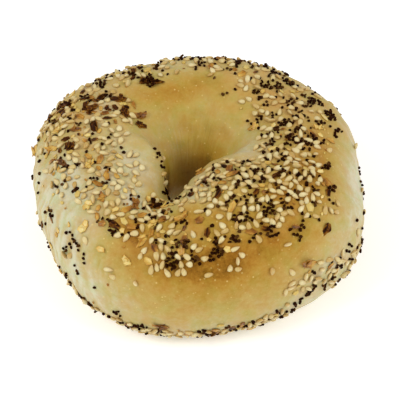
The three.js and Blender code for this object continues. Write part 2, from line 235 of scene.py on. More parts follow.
def doughPoints(at, section, relief=False):  # points from the ring's axis
    at, section = np.asarray(at, float), np.asarray(section, float)
    outer = aroundRing(ring["outerRadius"], at)
    crown = aroundRing(ring["crownHeight"], at) - bell(at, *ring["dip"])
    hole = aroundRing(ring["holeRadius"], at) + bell(at, *ring["notch"])
    waist = aroundRing(ring["waistHeight"], at)
    out, up = np.cos(np.radians(section)), np.sin(np.radians(section))
    shoulder = ring["topExponent"] + np.where(out < 0, bell(at, *ring["squarer"]), 0)
    exponent = np.where(up < 0, ring["bottomExponent"], shoulder)
    reach = (np.abs(out) ** exponent + np.abs(up) ** exponent) ** (-1 / exponent)

    direction = np.stack([np.cos(np.radians(at)), np.sin(np.radians(at))], -1)
    rim = direction * outer[..., None]
    wall = direction * hole[..., None] + np.array(ring["holeMiddle"])
    level = wall + (rim - wall) * ((1 + out * reach) / 2)[..., None]
    rise = np.where(up > 0, crown - waist, waist + ring["settled"])
    height = waist + rise * up * reach
    if relief:
        across = rim - wall
        width = np.linalg.norm(across, axis=-1)
        lean = np.stack([out / (width / 2), up / rise], -1)
        lean /= np.linalg.norm(lean, axis=-1)[..., None]
        points = np.concatenate([level, height[..., None]], -1)
        lift = lowRelief(at, np.mod(section, 360)) + fineRelief(at, section, points)
        lift = lift * smooth(height, *reliefStarts)
        level = level + across * (lift * lean[..., 0] / width)[..., None]
        height = height + lift * lean[..., 1]
    foot = ring["footRound"]
    rounded = np.where(height < -foot, 0, (height + foot) ** 2 / (4 * foot))
    height = np.where(height < foot, rounded, height)
    return np.concatenate([level, height[..., None]], -1)


def doughFrames(at, section):  # the point, the way round the ring, the way across and the way out
    near = 0.6
    around = doughPoints(at + near, section, True) - doughPoints(at - near, section, True)
    across = doughPoints(at, section + near, True) - doughPoints(at, section - near, True)
    around /= np.linalg.norm(around, axis=-1)[..., None]
    out = np.cross(around, across)
    out /= np.linalg.norm(out, axis=-1)[..., None]
    return doughPoints(at, section, True), around, np.cross(out, around), out


crust = {
    "facetsAround": 420, "rows": 220,
    "foldRows": (140, 20, 1.4),  # rows stand closer over the fold: middle, spread, how much closer
    "wrinkleFacets": (206, 34, 1.3),  # and facets over the wrinkles
    "flatRows": (245, 295, 12, 0.55),  # and wider on the underside: from, to, ease, how much wider
    "bareBake": 0.3,
    "mottling": (14, 0.6, 0.01),  # how many of the lumps' waves, at what part of their pace, how much
    "tinted": {  # areas of another tint: where, the tint and its share
        "rosy": {"at": (30, 48), "section": (88, 30), "colour": "#c8a070", "share": 0.32},
        # painted light: the hole's wall, all round, is tinted gold for the warm light bounced inside the
        # hole
        "paintedHoleWarmth": {"at": (90, 1000), "section": (156, 46), "colour": "#b69a3e", "share": 0.42},
        "tawny": {"at": (170, 32), "section": (84, 32), "colour": "#c39550", "share": 0.34},
        "milky": {"at": (203, 27), "section": (12, 36), "colour": "#cac8a8", "share": 0.26},
    },
    # noise in the browning: how many millimetres wide, detail, roughness, how much
    "blotches": [(5, 5, 0.65, 0.42), (1.3, 3, 0.7, 0.34)],
    # the stops from 0.9 on, the darkest, are reached in the hole and paint its shade
    "brownsAndHoleShade": [
        (0, "#cac4a6"), (0.08, "#c6be9a"), (0.15, "#c2b489"), (0.27, "#bea970"), (0.4, "#bba059"),
        (0.53, "#b59448"), (0.66, "#ae8634"), (0.8, "#a07222"), (0.9, "#85590f"), (1, "#5c3b04"),
    ],
    "drifts": [(0.36, "#f6fdf0"), (0.5, "#ffffff"), (0.64, "#fff6f2")],  # a little greener or pinker
    "blisterColour": "#dcc47c",
    # where the oven toasted the skin (or left it pale, below 0), and painted shade deep in the hole, on its
    # wall beside the fold and in the notch: at, section, spread both ways, how much
    "toastedAndShaded": [
        (276, 43, 34, 18, 0.5), (262, 64, 16, 14, 0.08), (275, 20, 36, 22, 0.22), (322, 69, 34, 18, 0.4),
        (350, 84, 30, 18, 0.24), (250, 76, 22, 12, 0.22), (30, 88, 30, 22, 0.2), (98, 109, 48, 18, 0.4),
        # (46, 172) and (85, 194) in the next row are painted shade deep in the hole
        (70, 140, 60, 20, 0.1), (46, 172, 36, 16, 0.58), (85, 194, 70, 18, 0.45), (165, 60, 14, 34, 0.14),
        (180, 78, 14, 14, 0.08), (204, 28, 28, 32, -0.22), (220, 14, 14, 22, -0.06),
        (212, 114, 26, 16, -0.22), (271, 118, 18, 18, -0.13), (352, 30, 28, 26, -0.28),
        (166, 156, 20, 18, -0.14), (341, 122, 14, 10, -0.12), (2, 124, 24, 14, -0.1),
        (230, -12, 40, 20, -0.13), (310, -25, 40, 18, -0.18), (286, 96, 24, 14, 0.12),
        (243, 46, 12, 12, 0.14), (272, -6, 34, 18, 0.14), (240, 66, 12, 12, 0.26), (283, 72, 16, 12, 0.2),
        (342, 60, 18, 14, 0.16), (8, 62, 12, 14, 0.14), (200, 60, 12, 11, -0.32), (148, 88, 30, 20, -0.08),
        # (40, 165) in the next row is painted shade on the hole's wall
        (40, 165, 18, 12, 0.14), (15, 46, 20, 12, 0.14), (311, 45, 20, 14, 0.16), (211, 88, 10, 12, -0.14),
        (230, 92, 10, 10, -0.22), (272, 97, 12, 10, -0.22), (134, 94, 12, 12, 0.08),
        (163, 86, 12, 12, -0.14), (20, 78, 10, 12, -0.1), (178, 76, 12, 16, -0.12), (28, 154, 12, 12, 0.14),
        # (157, 184) in the next row is painted shade on the hole's wall beside the fold
        (336, 106, 12, 12, -0.14), (158, 98, 10, 10, -0.14), (157, 184, 8, 26, 0.5),
        # (240, 112) in the next row is painted shade in the notch
        (314, 89, 10, 10, -0.14), (240, 112, 8, 8, 0.36), (260, 86, 10, 10, 0.24), (242, 65, 10, 10, 0.14),
        (286, 43, 10, 14, -0.13), (120, 42, 60, 18, 0.08), (0, 270, 1000, 15, 0.3), (277, 38, 12, 10, 0.08),
        (318, 8, 10, 12, -0.18),
    ],
}


def bakeAndShadeOf(at, section, points):  # how brown the skin is, from 0, cream, to 1, deep brown, with painted shade added in the hole, beside the fold and in the notch
    bakeAndShade = np.full(at.shape, crust["bareBake"])
    for middle, height, around, across, depth in crust["toastedAndShaded"]:
        bakeAndShade = bakeAndShade + depth * bell(at, middle, around) * bell(section, height, across)
    waves, pace, depth = crust["mottling"]
    for way, phase in zip(lumpWays[:waves], lumpPhases[:waves]):
        bakeAndShade = bakeAndShade + depth * np.sin(pace * points @ way + 2 * phase)
    # crests paler and troughs browner: partly the dough's tone, partly painted highlight and painted shade
    for pattern in (wrinkles, flutes):
        bakeAndShade = bakeAndShade - pattern["paleCrestsShadedTroughs"] * streaks(pattern, at, section)
    return np.clip(bakeAndShade, 0, 1)


def boiledCrust():  # dough boiled and then baked: a tight, smooth, leathery skin, matt, with fine blisters
    material, tree, toned, *tints = startMaterial("boiledCrust", "bakeAndShade", *crust["tinted"])
    place = addNode(tree, "TexCoord", output="Object")
    for wide, detail, rough, depth in crust["blotches"]:
        noise = {"Vector": place, "Scale": scaleFor(wide), "Detail": detail, "Roughness": rough}
        blotch = addNode(tree, "TexNoise", noise)
        spread = addNode(tree, "Math", {0: blotch, 1: 0.5}, operation="SUBTRACT")
        toned = addNode(tree, "Math", {0: spread, 1: depth, 2: toned}, operation="MULTIPLY_ADD")
    skin = addNode(tree, "ValToRGB", {"Fac": toned}, crust["brownsAndHoleShade"])
    for inside, area in zip(tints, crust["tinted"].values()):
        share = addNode(tree, "Math", {0: inside, 1: area["share"]}, operation="MULTIPLY")
        skin = addNode(tree, "Mix", {"Factor": share, "A": skin, "B": area["colour"]}, **colourMix)
    drift = addNode(tree, "TexNoise", {"Vector": place, "Scale": scaleFor(6), "Detail": 3})
    tint = addNode(tree, "ValToRGB", {"Fac": drift}, crust["drifts"])
    skin = addNode(tree, "Mix", {"Factor": 1, "A": skin, "B": tint}, **colourMix,
                   blend_type="MULTIPLY")
    # pale blisters under a millimetre across, 1.6 mm apart, each of its own strength, and some of none
    speck = addNode(tree, "TexVoronoi", {"Vector": place, "Scale": scaleFor(1.6)})
    strength = speck.node.outputs["Color"]
    speck = addNode(tree, "MapRange",
                    {"Value": speck, "From Min": 0.08, "From Max": 0.24, "To Min": 1, "To Max": 0})
    strength = addNode(tree, "MapRange", {"Value": strength, "From Min": 0.4, "To Max": 0.9})
    blister = addNode(tree, "Math", {0: speck, 1: strength}, operation="MULTIPLY")
    skin = addNode(tree, "Mix", {"Factor": blister, "A": skin, "B": crust["blisterColour"]}, **colourMix)
    grain = addNode(tree, "TexNoise",
                    {"Vector": place, "Scale": scaleFor(0.9), "Detail": 3, "Roughness": 0.6})
    pores = addNode(tree, "TexNoise", {"Vector": place, "Scale": scaleFor(3)})
    heights = addNode(tree, "Math", {0: blister, 1: 0.5, 2: grain}, operation="MULTIPLY_ADD")
    heights = addNode(tree, "Math", {0: pores, 1: 1.2, 2: heights}, operation="MULTIPLY_ADD")
    shine = addNode(tree, "MapRange", {"Value": pores, "To Min": 0.42, "To Max": 0.6})
    finish = {"Roughness": shine, "IOR": 1.45, "Specular IOR Level": 0.12}
    return finishMaterial(material, skin, heights, (0.5, 0.12), finish, (0.12, (0.9, 0.55, 0.25), 2))


def spacedBy(density, count):  # this many angles round a circle, closer where the density is high
    passed = np.cumsum(density)
    steps = np.linspace(0, 360, len(density), False)
    return np.interp(np.arange(count) * passed[-1] / count, passed, steps)


def makeCrust():
    steps = np.arange(0, 360, 0.25)
    turns = spacedBy(1 + bell(steps, *crust["wrinkleFacets"]), crust["facetsAround"])
    low, high, ease, wider = crust["flatRows"]
    flat = smooth(steps, low - ease, low) * (1 - smooth(steps, high, high + ease))
    sections = spacedBy(1 + bell(steps, *crust["foldRows"]) - wider * flat, crust["rows"])
    at, section = np.meshgrid(turns, sections, indexing="ij")
    points = doughPoints(at, section, True)
    bakeAndShade = bakeAndShadeOf(at, section, points)
    tinted = {name: bell(at, *area["at"]) * bell(section, *area["section"])
              for name, area in crust["tinted"].items()}
    rows, count = len(sections), len(turns)
    i, j = np.meshgrid(np.arange(count), np.arange(rows), indexing="ij")
    ahead, above = (i + 1) % count, (j + 1) % rows
    faces = np.stack([i * rows + j, ahead * rows + j, ahead * rows + above, i * rows + above], -1)
    faces = faces.reshape(-1, 4).tolist()
    points = points.reshape(-1, 3) + (*ring["middle"], 0)
    makePiece("crust", points, faces, boiledCrust(), {"bakeAndShade": bakeAndShade, **tinted})


# Patches: at, section, reach round the ring, reach across, then flakes, sesame seeds and poppy seeds.
patches = [
    (10, 86, 24, 34, 6, 17, 64), (38, 82, 24, 36, 4, 17, 70), (68, 70, 24, 32, 5, 24, 42),
    (95, 60, 24, 30, 5, 22, 45), (124, 70, 18, 28, 7, 20, 40), (158, 86, 16, 38, 18, 42, 18),
    (165, 50, 18, 26, 11, 26, 25), (186, 82, 18, 36, 8, 36, 24), (212, 86, 18, 34, 6, 36, 26),
    (192, 56, 16, 18, 4, 14, 12), (232, 78, 14, 26, 7, 28, 24), (247, 98, 10, 18, 4, 9, 26),
    (216, 140, 26, 6, 0, 6, 26), (254, 66, 12, 22, 5, 10, 12), (263, 52, 9, 12, 1, 2, 18),
    (278, 56, 14, 20, 1, 3, 16), (285, 92, 16, 26, 5, 34, 28), (274, 104, 16, 14, 3, 22, 10),
    (301, 112, 18, 10, 3, 18, 16), (305, 86, 18, 28, 3, 44, 60), (325, 84, 18, 28, 3, 38, 60),
    (345, 86, 16, 28, 4, 24, 40), (298, 58, 14, 18, 1, 8, 30), (318, 55, 16, 20, 2, 20, 22),
    (245, -27, 14, 8, 3, 12, 30), (268, -30, 18, 8, 4, 18, 24), (292, -26, 16, 10, 4, 16, 30),
    (312, 0, 14, 26, 2, 22, 20), (330, -8, 14, 24, 1, 16, 26), (0, -24, 26, 14, 2, 14, 30),
    (40, -22, 28, 14, 3, 16, 36), (85, -22, 30, 14, 3, 16, 34), (130, -22, 28, 14, 3, 16, 36),
    (185, -24, 26, 12, 2, 12, 30), (218, -27, 18, 10, 2, 10, 26), (205, 22, 34, 26, 4, 4, 26),
    (350, 15, 24, 26, 0, 3, 14), (45, 15, 40, 24, 3, 10, 24), (95, 12, 40, 24, 2, 10, 22),
    (145, 15, 36, 24, 3, 10, 24), (222, 10, 20, 24, 0, 0, 13),
]
largeFlakes = [  # at, section, long, wide, turn, and how far it is baked
    (124, 90, 5.5, 2.4, 20, "burnt"), (118, 95, 6, 2.6, 150, "burnt"), (158, 56, 6.5, 3, 60, "burnt"),
    (161, 37, 4.5, 1.8, 80, "burnt"), (161, 83, 5.2, 2.9, 100, "burnt"), (148, 97, 5.2, 3, 120, "burnt"),
    (155, 109, 6, 2.8, 40, "burnt"), (149, 119, 6, 2.2, 140, "brown"), (158, 125, 6, 2.6, 130, "burnt"),
    (168, 77, 3.8, 2.2, 60, "brown"), (174, 90, 5.6, 2.8, 10, "burnt"), (176, 74, 4.6, 2, 80, "brown"),
    (185, 68, 6.6, 2.8, 40, "burnt"), (174, 57, 5, 1.8, 110, "gold"), (182, 50, 7, 2.2, 60, "amber"),
    (173, 21, 5, 2.4, 90, "gold"), (192, 58, 5, 2, 30, "brown"), (199, 80, 4.6, 2.2, 120, "gold"),
    (211, 87, 4, 2.4, 160, "amber"), (212, 77, 4.4, 2, 20, "brown"), (219, 73, 4.6, 2.2, 150, "amber"),
    (201, 106, 3.6, 2, 40, "gold"), (217, 59, 4.6, 2.8, 100, "gold"), (221, 45, 4.8, 3, 80, "gold"),
    (231, 41, 3.8, 2.2, 20, "gold"), (242, 44, 4.6, 2.8, 150, "gold"), (232, 64, 4.5, 2.5, 10, "burnt"),
    (232, 81, 4.4, 2.2, 70, "amber"), (234, 92, 4.8, 2.4, 110, "amber"), (239, 72, 3.8, 2.2, 30, "amber"),
    (246, 64, 5, 2.4, 80, "amber"), (244, 106, 5, 3, 40, "burnt"), (251, 109, 4.6, 1.8, 10, "amber"),
    (248, 84, 5.2, 1.8, 50, "gold"), (252, 59, 4, 2.2, 120, "brown"), (253, 88, 4.6, 2.4, 20, "brown"),
    (262, 82, 5, 2.4, 0, "amber"), (271, 73, 3.8, 2.6, 20, "brown"), (274, 62, 3.6, 2.2, 70, "burnt"),
    (264, 60, 4.6, 2.6, 70, "brown"), (289, 65, 4.2, 2.6, 50, "burnt"), (292, 54, 3.8, 2.2, 150, "brown"),
    (283, 130, 4.6, 2.6, 20, "amber"), (300, 101, 4.4, 2.8, 170, "amber"), (61, 88, 4, 2.2, 60, "amber"),
    (19, 117, 4.5, 2.6, 60, "amber"), (7, 71, 4.8, 1.8, 100, "gold"), (2, 75, 4, 2.2, 40, "brown"),
    (334, 57, 5.6, 2.8, 80, "amber"), (330, 54, 3.6, 2, 30, "burnt"), (80, 59, 5, 2.4, 0, "amber"),
    (82, 80, 4, 2, 70, "amber"), (310, 18, 7, 3.2, 155, "amber"), (320, 36, 5, 3, 30, "burnt"),
    (290, -35, 4.5, 3, 80, "amber"), (275, -33, 4.6, 3.2, 30, "brown"), (256, -18, 6, 2, 170, "brown"),
    (205, -8, 4, 2.2, 80, "gold"),
]
loneSeeds = [  # at, section, turn
    (236, 29, 20), (238, 25, 160), (247, 28, 80), (252, 41, 75), (254, 43, 90), (256, 52, 95),
    (256, 45, 60), (258, 38, 110), (262, 37, 50), (264, 37, 95), (263, 43, 85), (265, 48, 130),
    (266, 42, 170), (268, 54, 35), (270, 51, 15), (272, 44, 25), (273, 32, 5), (281, 34, 80), (284, 38, 95),
    (284, 32, 15), (286, 41, 130), (284, 46, 10), (294, 48, 110), (292, 58, 90), (295, 58, 100),
    (290, 65, 140), (287, 61, 60), (281, 64, 115), (278, 60, 105), (281, 71, 0), (248, 57, 60),
    (254, 66, 145), (258, 77, 165), (258, 72, 10), (262, 91, 90), (254, 90, 160), (246, 96, 0),
    (242, 98, 10), (246, 120, 90), (263, 110, 100), (264, 131, 60), (296, 24, 110), (303, 3, 20),
    (350, 111, 160), (343, 113, 165), (0, 105, 0), (8, 107, 90), (12, 111, 120), (30, 106, 20),
    (32, 111, 10), (36, 107, 20), (44, 107, 10), (47, 112, 30), (56, 101, 20), (47, 94, 10),
]
poppyClumps = [  # at, section, reach, and how many poppy seeds
    (122, 88, 2.6, 16), (120, 96, 2.2, 9), (127, 76, 2.6, 8), (99, 62, 3, 8), (91, 78, 2, 5),
    (56, 60, 2.4, 8), (41, 82, 2.2, 12), (43, 66, 2.6, 12), (28, 68, 2.4, 11), (18, 56, 2.4, 20),
    (26, 60, 2.2, 9), (12, 94, 2.2, 15), (356, 92, 1.8, 10), (336, 94, 2.2, 6), (341, 98, 1.6, 5),
    (321, 78, 1.8, 7), (327, 84, 2, 7), (340, 73, 1.7, 6), (344, 62, 1.6, 5), (333, 54, 1.6, 7),
    (243, 107, 2.2, 12), (258, 113, 2, 6), (230, 66, 1.8, 6), (233, 60, 1.8, 6), (277, 48, 1.9, 15),
    (260, 46, 2.2, 15), (260, 57, 2, 9), (256, 61, 1.8, 5), (250, 66, 1.6, 4), (264, 59, 1.8, 5),
    (284, 53, 1.4, 4), (300, 50, 1.9, 9), (289, 64, 2.2, 8), (304, 58, 1.6, 5), (321, -2, 3.6, 10),
    (311, -7, 3, 6), (304, -28, 3, 9), (226, -28, 3.4, 11), (239, -14, 2.2, 5), (250, -26, 2.4, 9),
    (153, 72, 2.4, 6), (149, 89, 2.4, 6), (143, 70, 2.4, 9), (158, 56, 2.4, 7), (311, 46, 1.4, 4),
    (284, 79, 1.6, 5), (294, 72, 1.6, 5), (327, 12, 2.4, 4), (31, 56, 1.8, 6), (326, 76, 2, 9),
    (304, 87, 1.8, 8), (297, 90, 1.6, 6), (0, 74, 1.6, 5), (318, 65, 1.6, 6), (308, 72, 1.8, 8),
    (240, 112, 2.4, 5), (306, 60, 1.8, 6), (14, 82, 2, 8), (323, 80, 2, 5), (222, 150, 1.5, 4),
    (226, 156, 1.5, 4), (231, 158, 1.6, 4), (235, 155, 1.6, 4),
]
strewing = {
    "seed": 7, "lowest": 2.5, "flakeTries": 10, "seedTries": 14, "poppyTries": 6, "crumbTries": 4,
    "seedRoom": 0.95, "flakeRoom": (0.2, 0.5),  # a flake's room: a share of its length, and more
    "flakeLong": (2.2, 2.8), "flakeNarrow": (0.5, 0.3),  # least, and how much it varies
    "poppySeed": 11, "poppyRoom": 0.38, "poppyShare": 0.85, "poppyAlone": 0.62, "clumpReach": 1.7,
    "clumpTries": 3, "piledLift": 0.6,
    "crumbSeed": 13, "crumbsPerFlake": 1.3, "crumbRoom": 0.45, "crumbLong": (0.8, 1.1),
    "crumbNarrow": (0.5, 0.4), "aboveTable": 0.02, "mostPieces": 5000,
}


class Table:  # what lies on the dough so far, with a test of whether a new piece is clear of it
    def __init__(self):
        self.pieces = []
        self.points = np.zeros((strewing["mostPieces"], 3))
        self.rooms = np.zeros(strewing["mostPieces"])

    def lay(self, kind, at, section, size, room, anywhere=False, **marks):
        point = doughPoints(at, section)
        count = len(self.pieces)
        apart = np.linalg.norm(self.points[:count] - point, axis=1)
        if not anywhere and (point[2] <= strewing["lowest"] or (apart <= self.rooms[:count] + room).any()):
            return False
        self.points[count] = point
        self.rooms[count] = room
        place = {"at": at, "section": section}
        self.pieces.append({"kind": kind, "number": count, **place, "size": size, **marks})
        return True

    def nearest(self, at, section):
        apart = np.linalg.norm(self.points[:len(self.pieces)] - doughPoints(at, section), axis=1)
        return self.pieces[np.argmin(apart - self.rooms[:len(self.pieces)])]["kind"]

    def ofKind(self, *kinds):
        return [piece for piece in self.pieces if piece["kind"] in kinds]


def within(roll, patch):  # a place in a patch, more often near its middle
    at, section, around, across = patch[:4]
    return at + around * (roll() + roll() - 1), section + across * (roll() + roll() - 1)


def near(roll, at, section, reach):  # a place within a reach, in millimetres, of another
    radius = np.hypot(*doughPoints(at, section)[:2])
    way, far = 2 * math.pi * roll(), reach * math.sqrt(roll())
    return at + math.degrees(far * math.cos(way) / radius), section + far * math.sin(way) / mmPerDegree


def flakeRoomOf(long):
    share, more = strewing["flakeRoom"]
    return share * long + more


def layToppings():  # the same draws as the solid's, so that its flakes and seeds lie under these
    roll = dice(strewing["seed"])
    table = Table()
    seedRoom = strewing["seedRoom"]
    for at, section, long, wide, turn, tone in largeFlakes:
        table.lay("flake", at, section, (long, wide), flakeRoomOf(long), True, turn=turn, tone=tone)
    for at, section, turn in loneSeeds:
        table.lay("seed", at, section, None, seedRoom, True, turn=turn)
    leastLong, longVaries = strewing["flakeLong"]
    narrow, narrowVaries = strewing["flakeNarrow"]
    for kind, column, tries in (("flake", 4, strewing["flakeTries"]), ("seed", 5, strewing["seedTries"])):
        for count in range(max(patch[column] for patch in patches)):
            for patch in patches:
                if patch[column] <= count:
                    continue
                size, room = None, seedRoom
                if kind == "flake":
                    long = leastLong + longVaries * roll() * roll()
                    size, room = (long, long * (narrow + narrowVaries * roll())), flakeRoomOf(long)
                turn = 360 * roll()
                for attempt in range(tries):
                    if table.lay(kind, *within(roll, patch), size, room, turn=turn, tone=None):
                        break
    return table


def layPoppies(table):  # heaped where the clumps are, and elsewhere alone or by twos and threes
    roll = dice(strewing["poppySeed"])
    room = strewing["poppyRoom"]
    for middleAt, middleSection, reach, seeds in poppyClumps:
        for count in range(seeds):
            for attempt in range(strewing["clumpTries"]):
                at, section = near(roll, middleAt, middleSection, reach)
                if table.lay("poppy", at, section, None, room, turn=360 * roll()):
                    break
            else:
                if table.nearest(at, section) != "seed":
                    lift = strewing["piledLift"]
                    table.lay("poppy", at, section, None, room, True, turn=360 * roll(), lift=lift)
    for patch in patches:
        last = None
        for count in range(round(strewing["poppyShare"] * patch[6])):
            alone = last is None or roll() < strewing["poppyAlone"]
            for attempt in range(strewing["poppyTries"]):
                place = within(roll, patch) if alone else near(roll, *last, strewing["clumpReach"])
                if table.lay("poppy", *place, None, room, turn=360 * roll()):
                    last = place
                    break
    return table


def layCrumbs(table):  # what broke off the flakes
    roll = dice(strewing["crumbSeed"])
    least, varies = strewing["crumbLong"]
    narrow, narrowVaries = strewing["crumbNarrow"]
    room = strewing["crumbRoom"]
    for patch in patches:
        for count in range(round(strewing["crumbsPerFlake"] * patch[4])):
            long = least + varies * roll()
            size = (long, long * (narrow + narrowVaries * roll()))
            for attempt in range(strewing["crumbTries"]):
                if table.lay("crumb", *within(roll, patch), size, room, turn=360 * roll(), tone=None):
                    break
    return table


def placed(pieces, template, sizes, tilts, rises):  # copies of a template, each at its own place and size
    at, section, turn = np.array([[piece["at"], piece["section"], piece["turn"]] for piece in pieces]).T
    lifts = rises + np.array([piece.get("lift", 0) for piece in pieces])
    point, around, across, out = doughFrames(at, section)
    turn = np.radians(turn)[:, None]
    long = around * np.cos(turn) + across * np.sin(turn)
    wide = np.cross(out, long)
    roll, pitch = np.radians(tilts).T[:, :, None]
    wide, up = wide * np.cos(roll) + out * np.sin(roll), out * np.cos(roll) - wide * np.sin(roll)
    long, up = long * np.cos(pitch) + up * np.sin(pitch), up * np.cos(pitch) - long * np.sin(pitch)
    local = template * sizes[:, None]  # one template for all, or one for each
    points = (point + out * lifts[:, None])[:, None] + local[..., :1] * long[:, None]
    points = points + local[..., 1:2] * wide[:, None] + local[..., 2:] * up[:, None]
    points = points + (*ring["middle"], 0)
    points[..., 2] = np.maximum(points[..., 2], strewing["aboveTable"])
    return points.reshape(-1, 3)


def copiedFaces(faces, perPiece, count):
    return [[corner + number * perPiece for corner in face] for number in range(count) for face in faces]


def ballFaces(rings, around):  # faces of a ball: a point, rings of points, and a point
    last = 1 + rings * around
    faces = []
    for k in range(around):
        after = (k + 1) % around
        faces.append([0, 1 + after, 1 + k])
        for r in range(rings - 1):
            low, high = 1 + r * around, 1 + (r + 1) * around
            faces.append([low + k, low + after, high + after, high + k])
        faces.append([last, last - around + k, last - around + after])
    return faces


def ballPoints(rings, around):  # a ball one unit across, its poles along X
    slope = np.pi * np.arange(1, rings + 1) / (rings + 1)
    turn = 2 * np.pi * np.arange(around) / around
    x = np.repeat(-np.cos(slope), around) / 2
    y = np.outer(np.sin(slope), np.cos(turn)).ravel() / 2
    z = np.outer(np.sin(slope), np.sin(turn)).ravel() / 2
    return np.concatenate([[[-0.5, 0, 0]], np.stack([x, y, z], -1), [[0.5, 0, 0]]])


def startGrains(pieces, recipe):  # their random draws, their sizes, and the ball that each starts as
    draws = np.random.default_rng(recipe["seed"])
    varied = 1 + recipe["varies"] * draws.normal(size=(len(pieces), 3)).clip(-2, 2)
    sizes = np.array([recipe["long"], recipe["wide"], recipe["thick"]]) * varied
    ball = recipe["rings"], recipe["around"]
    template = ballPoints(*ball)
    return draws, sizes, template, copiedFaces(ballFaces(*ball), len(template), len(pieces))


sesame = {
    "seed": 3, "rings": 8, "around": 10,
    "long": 2.9, "wide": 1.75, "thick": 1.15, "varies": 0.1, "lean": 15, "rise": (0.26, 0.12),
    "taper": 0.5, "pointed": (0.3, 0.1, 0.5), "plump": 0.16,
    "edgewise": {"share": 0.1, "lean": 50, "rise": 0.35},
    "toastOdds": (1.4, 3.2),  # most seeds are pale
    "toasts": [(0, "#dbcd9a"), (0.35, "#d1bd80"), (0.7, "#be9e56"), (1, "#a07535")],
    "tipColour": "#b98c4c", "underShadeColour": "#b58d45",
}


def hulledSesame():  # hulled seed, lightly toasted: cream, waxy, tan where the oven caught its tip, and painted shade on its lower half
    material, tree, tone, along, rim = startMaterial("hulledSesame", "toast", "along", "rim")
    place = addNode(tree, "TexCoord", output="Object")
    mottle = addNode(tree, "TexNoise", {"Vector": place, "Scale": scaleFor(1.2)})
    body = addNode(tree, "ValToRGB", {"Fac": tone}, sesame["toasts"])
    tip = addNode(tree, "MapRange", {"Value": along, "From Min": 0.45, "To Max": 1.1})
    caught = addNode(tree, "Math", {0: tip, 1: mottle}, operation="MULTIPLY")
    body = addNode(tree, "Mix", {"Factor": caught, "A": body, "B": sesame["tipColour"]}, **colourMix)
    # the lower half of each seed is darkened toward tan: painted shade under the seed
    edge = addNode(tree, "Math", {0: rim, 1: 1.6}, operation="POWER")
    edge = addNode(tree, "Math", {0: edge, 1: 0.64}, operation="MULTIPLY")
    body = addNode(tree, "Mix", {"Factor": edge, "A": body, "B": sesame["underShadeColour"]}, **colourMix)
    finish = {"Roughness": 0.36, "IOR": 1.47, "Specular IOR Level": 0.5}
    return finishMaterial(material, body, mottle, (0.3, 0.05), finish, (0.12, (1, 0.8, 0.5), 0.5))


def makeSesame(pieces):
    draws, sizes, template, faces = startGrains(pieces, sesame)
    x = template[:, 0].copy()
    pointed, begins, ends = sesame["pointed"]
    narrowing = (1 - sesame["taper"] * x) * (1 - pointed * smooth(x, begins, ends))
    template[:, 1] *= narrowing * (1 + sesame["plump"] * (2 * x) ** 2)
    count = len(pieces)
    tilts = sesame["lean"] * draws.normal(size=(count, 2)).clip(-2, 2)
    onEdge = sesame["edgewise"]
    edgewise = draws.random(count) < onEdge["share"]
    tilts[:, 0] += np.where(edgewise, draws.choice([-onEdge["lean"], onEdge["lean"]], count), 0)
    rise, varies = sesame["rise"]
    rises = rise + varies * draws.random(count) + np.where(edgewise, onEdge["rise"], 0)
    points = placed(pieces, template, sizes, tilts, rises)
    attributes = {
        "toast": np.repeat(draws.beta(*sesame["toastOdds"], count), len(template)),
        # rim is 1 on the seed's lower half and falls to 0 at its top, for the painted shade
        "along": np.tile(x + 0.5, count), "rim": np.tile(1 - np.clip(2 * template[:, 2], 0, 1), count),
    }
    makePiece("sesameSeeds", points, faces, hulledSesame(), attributes)


poppy = {
    "seed": 5, "rings": 5, "around": 8,
    "long": 1.2, "wide": 0.98, "thick": 0.92, "varies": 0.15, "lean": 40, "rise": (0.26, 0.15),
    "bean": 0.16, "dented": 0.07,
    "blooms": [(0, "#220a00"), (0.6, "#2f1200"), (1, "#563716")], "bloomRarity": 1.5,
}


def poppyCoat():  # dry brown-black seed coat, netted with tiny pits, so that it hardly shines
    material, tree, bloom = startMaterial("poppyCoat", "bloom")
    place = addNode(tree, "TexCoord", output="Object")
    pits = addNode(tree, "TexVoronoi", {"Vector": place, "Scale": scaleFor(0.25)})
    colour = addNode(tree, "ValToRGB", {"Fac": bloom}, poppy["blooms"])
    finish = {"Roughness": 0.65, "IOR": 1.45, "Specular IOR Level": 0.04}
    return finishMaterial(material, colour, pits, (0.6, 0.05), finish)


def makePoppies(pieces):
    draws, sizes, template, faces = startGrains(pieces, poppy)
    template[:, 1] += poppy["bean"] * (4 * template[:, 0] ** 2 - 0.5)  # bent like a bean
    count = len(pieces)
    tilts = draws.uniform(-poppy["lean"], poppy["lean"], (count, 2))
    rise, varies = poppy["rise"]
    rises = rise + varies * draws.random(count)
    dents = draws.normal(size=(count, len(template), 1)).clip(-2, 2)
    points = placed(pieces, template * (1 + poppy["dented"] * dents), sizes, tilts, rises)
    bloom = np.repeat(draws.random(count) ** poppy["bloomRarity"], len(template))
    makePiece("poppySeeds", points, faces, poppyCoat(), {"bloom": bloom})


